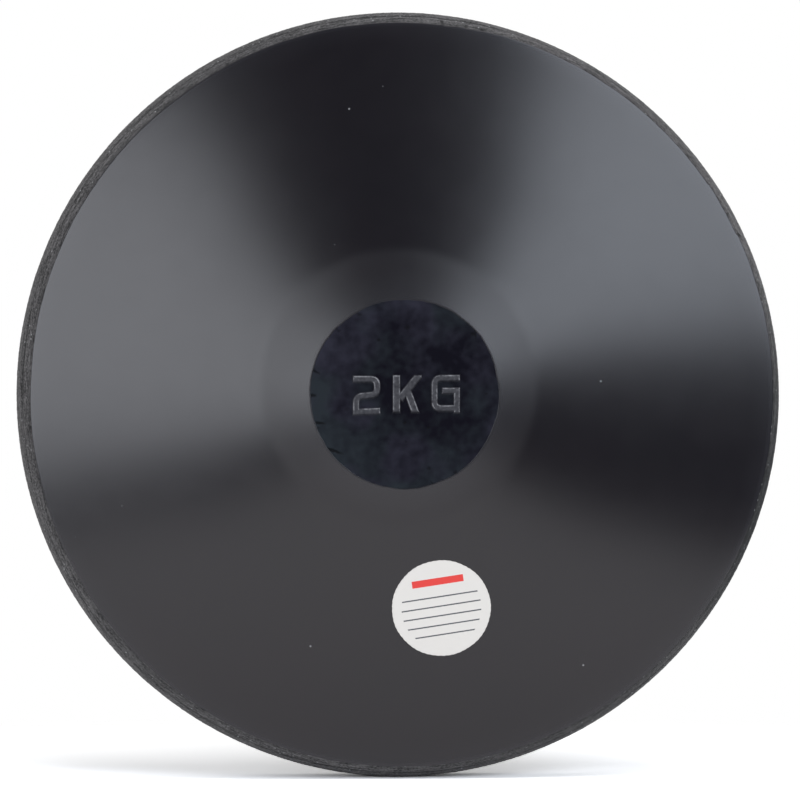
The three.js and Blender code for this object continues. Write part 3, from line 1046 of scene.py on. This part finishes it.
def table_material(studio):
    """White table: exposed to the background's white where it is seen, and clear towards its edge."""
    material = bpy.data.materials.new("white_table")
    tree = empty_tree(material)
    plain_white = (0.8, 0.8, 0.8)
    plain = add_node(tree, "BsdfDiffuse", {"Color": rgba(plain_white)})
    half_gain = (studio.table_gain / 2,) * 3
    bright = add_node(tree, "BsdfDiffuse", {"Color": rgba(half_gain)})
    lifted = add_node(tree, "AddShader", {0: bright, 1: bright})
    table = add_node(tree, "MixShader", {0: seen_rays(tree), 1: plain, 2: lifted})
    place = add_node(tree, "TexCoord").outputs["Object"]
    stretch = (1, studio.table_width / studio.table_depth, 1)
    oval = add_node(tree, "VectorMath", {0: place, 1: stretch}, operation="MULTIPLY")
    radius = add_node(tree, "VectorMath", {0: oval}, operation="LENGTH").outputs["Value"]
    edge = {0: radius, 1: 0.66 * studio.table_width, 2: 1.03 * studio.table_width}
    fade = add_node(tree, "MapRange", edge, interpolation_type="SMOOTHSTEP")
    clear = add_node(tree, "BsdfTransparent")
    surface = add_node(tree, "MixShader", {0: fade, 1: table, 2: clear})
    add_node(tree, "OutputMaterial", {"Surface": surface})
    return material


def add_table(sizes, studio):
    """Oval white table under the disc."""
    mesh = bpy.data.meshes.new("table")
    work = bmesh.new()
    bmesh.ops.create_circle(work, cap_ends=True, segments=96, radius=studio.table_depth)
    work.to_mesh(mesh)
    work.free()
    mesh.materials.append(table_material(studio))
    table = place_object("table", mesh)
    table.location = (studio.table_across, -studio.table_front, -sizes.disc_radius)


def add_dark_walls(colours):
    """Dark sides of the studio, behind the camera and low on the right, which only reflections show."""
    material = bpy.data.materials.new("dark_wall")
    tree = empty_tree(material)
    dim = add_node(tree, "Emission", {"Color": rgba(colours.wall_dark), "Strength": 1})
    add_node(tree, "OutputMaterial", {"Surface": dim})
    corners = [corner for wall in WALLS for corner in wall]
    mesh = bpy.data.meshes.new("dark_walls")
    mesh.from_pydata(corners, [], [(0, 1, 2, 3), (4, 5, 6, 7)])
    mesh.materials.append(material)
    walls = place_object("dark_walls", mesh)
    walls.visible_camera = False
    walls.visible_diffuse = False
    walls.visible_shadow = False
    walls.visible_transmission = False


def add_lamp(name, radiance):
    """A rectangular lamp of even brightness, turned from facing straight down."""
    place, size, colour, turn = LAMPS[name]
    light = bpy.data.lights.new(name, "AREA")
    light.shape = "RECTANGLE"
    light.size, light.size_y = size
    light.energy = radiance * math.pi * size[0] * size[1]
    light.color = linear(colour)
    lamp = place_object(name, light)
    lamp.location = place
    lamp.rotation_euler = [math.radians(angle) for angle in turn]


def set_world(studio):
    """White room: plain white where it is seen and softer where it lights the object."""
    world = bpy.data.worlds.new("white_room")
    bpy.context.scene.world = world
    tree = empty_tree(world)
    fill = add_node(tree, "Background", {"Color": (1, 1, 1, 1), "Strength": studio.fill})
    white = add_node(tree, "Background", {"Color": (1, 1, 1, 1), "Strength": 1.0})
    surface = add_node(tree, "MixShader", {0: seen_rays(tree), 1: fill, 2: white})
    add_node(tree, "OutputWorld", {"Surface": surface})


def add_camera(studio):
    """The camera at the photograph's place, a little to the left and level with the disc's centre."""
    sensor_width = 36
    camera = bpy.data.cameras.new("camera")
    camera.sensor_width = sensor_width
    camera.lens = studio.lens
    camera.clip_start = 0.05
    camera.clip_end = 20

    # Place of the disc's axis in the photograph, in pixels from its middle
    image_size = 800
    centre_right = -0.65
    centre_up = 5.65
    camera.shift_x = -centre_right / image_size
    camera.shift_y = -centre_up / image_size

    azimuth = studio.camera_azimuth
    elevation = studio.camera_elevation
    level = math.cos(elevation)
    back = Vector((math.sin(azimuth) * level, -math.cos(azimuth) * level, math.sin(elevation)))
    holder = place_object("camera", camera)
    holder.location = back * studio.camera_distance
    holder.rotation_mode = "QUATERNION"
    holder.rotation_quaternion = (-back).to_track_quat("-Z", "Y")
    bpy.context.scene.camera = holder


class DISCUS_OT_studio(Operator):
    """Set up the camera, the lamps, the white table and the white room"""

    bl_idname = "discus.studio"
    bl_label = "Studio"

    def execute(self, context):
        scene = context.scene
        studio = scene.discus_studio
        add_camera(studio)
        add_lamp("left_softbox", studio.left_radiance)
        add_lamp("right_softbox", studio.right_radiance)
        add_lamp("top_light", studio.top_radiance)
        set_world(studio)
        add_table(scene.discus_sizes, studio)
        add_dark_walls(scene.discus_colours)
        scene.view_settings.view_transform = "Standard"
        return {"FINISHED"}


class DISCUS_OT_faces(Operator):
    """Build the two rubber halves with their sloping faces"""

    bl_idname = "discus.faces"
    bl_label = "Faces"

    def execute(self, context):
        scene = context.scene
        rubber = satin_moulded_rubber(scene.discus_colours, scene.discus_sizes)
        for name, node, side in (("front_face", "front_shell", FRONT), ("back_face", "back_shell", BACK)):
            points = shell_points(scene.discus_sizes, scene.discus_relief, side)
            dress(closed_mesh(name, points), node, rubber)
        return {"FINISHED"}


class DISCUS_OT_rim(Operator):
    """Build the rubber band of the rim, with its buffed grain, seams and nicks"""

    bl_idname = "discus.rim"
    bl_label = "Rim"

    def execute(self, context):
        scene = context.scene
        rubber = buffed_rim_rubber(scene.discus_colours, scene.discus_sizes)
        points, painted_light_tone = rim_points(scene.discus_sizes, scene.discus_relief)
        rim = closed_mesh("rim", points, loop=True)
        store_shade(rim, "painted_light_tone", painted_light_tone)
        dress(rim, "rim_band", rubber)
        return {"FINISHED"}


class DISCUS_OT_hub_plates(Operator):
    """Build the round hub plates, the front one with its raised weight mark"""

    bl_idname = "discus.hub_plates"
    bl_label = "Hub plates"

    def execute(self, context):
        scene = context.scene
        rubber = matte_hub_rubber(scene.discus_colours, scene.discus_sizes)
        plates = (
            ("front_hub", "front_hub_plate", scene.discus_mark, FRONT, 0),
            ("back_hub", "back_hub_plate", None, BACK, 5),
        )
        for name, node, mark, side, seed in plates:
            points, wear_and_highlight, hollow = plate_points(scene.discus_sizes, scene.discus_relief, mark, side, seed)
            plate = closed_mesh(name, points)
            store_shade(plate, "wear_and_highlight", wear_and_highlight)
            store_shade(plate, "hollow", hollow)
            dress(plate, node, rubber)
        return {"FINISHED"}


class DISCUS_OT_label(Operator):
    """Build the round paper label on the front face"""

    bl_idname = "discus.label"
    bl_label = "Label"

    def execute(self, context):
        scene = context.scene
        paper = coated_label_paper(scene.discus_colours, scene.discus_mark)
        points = label_points(scene.discus_sizes, scene.discus_mark)
        dress(closed_mesh("label", points), "face_label", paper)
        return {"FINISHED"}


class DISCUS_OT_weight(Operator):
    """Give the iron weight inside the disc its raw cast finish"""

    bl_idname = "discus.weight"
    bl_label = "Iron weight"

    def execute(self, context):
        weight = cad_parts["weight_core"]
        weight.data.materials.clear()
        weight.data.materials.append(sand_cast_iron(context.scene.discus_colours))
        return {"FINISHED"}


class DISCUS_PT_sidebar(Panel):
    """Sizes, colours and steps of the discus"""

    bl_idname = "DISCUS_PT_sidebar"
    bl_label = "Rubber discus"
    bl_space_type = "VIEW_3D"
    bl_region_type = "UI"
    bl_category = "Discus"

    def draw(self, context):
        scene = context.scene
        steps = self.layout.column(align=True)
        for operator in OPERATORS:
            steps.operator(operator.bl_idname)
        for group in (getattr(scene, name) for name in GROUPS):
            box = self.layout.box()
            for name in group.__annotations__:
                box.prop(group, name)


GROUPS = {
    "discus_sizes": DiscusSizes,
    "discus_mark": DiscusMark,
    "discus_relief": DiscusRelief,
    "discus_colours": DiscusColours,
    "discus_studio": DiscusStudio,
}

OPERATORS = (
    DISCUS_OT_studio,
    DISCUS_OT_faces,
    DISCUS_OT_rim,
    DISCUS_OT_hub_plates,
    DISCUS_OT_label,
    DISCUS_OT_weight,
)


def register():
    for item in (*GROUPS.values(), *OPERATORS, DISCUS_PT_sidebar):
        bpy.utils.register_class(item)
    for name, group in GROUPS.items():
        setattr(bpy.types.Scene, name, PointerProperty(type=group))


def unregister():
    for name in GROUPS:
        delattr(bpy.types.Scene, name)
    for item in reversed((*GROUPS.values(), *OPERATORS, DISCUS_PT_sidebar)):
        bpy.utils.unregister_class(item)


def main():
    """Registers the add-on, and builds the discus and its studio."""
    register()
    bpy.ops.discus.studio()
    bpy.ops.discus.faces()
    bpy.ops.discus.rim()
    bpy.ops.discus.hub_plates()
    bpy.ops.discus.label()
    bpy.ops.discus.weight()


if __name__ == "__main__":
    main()
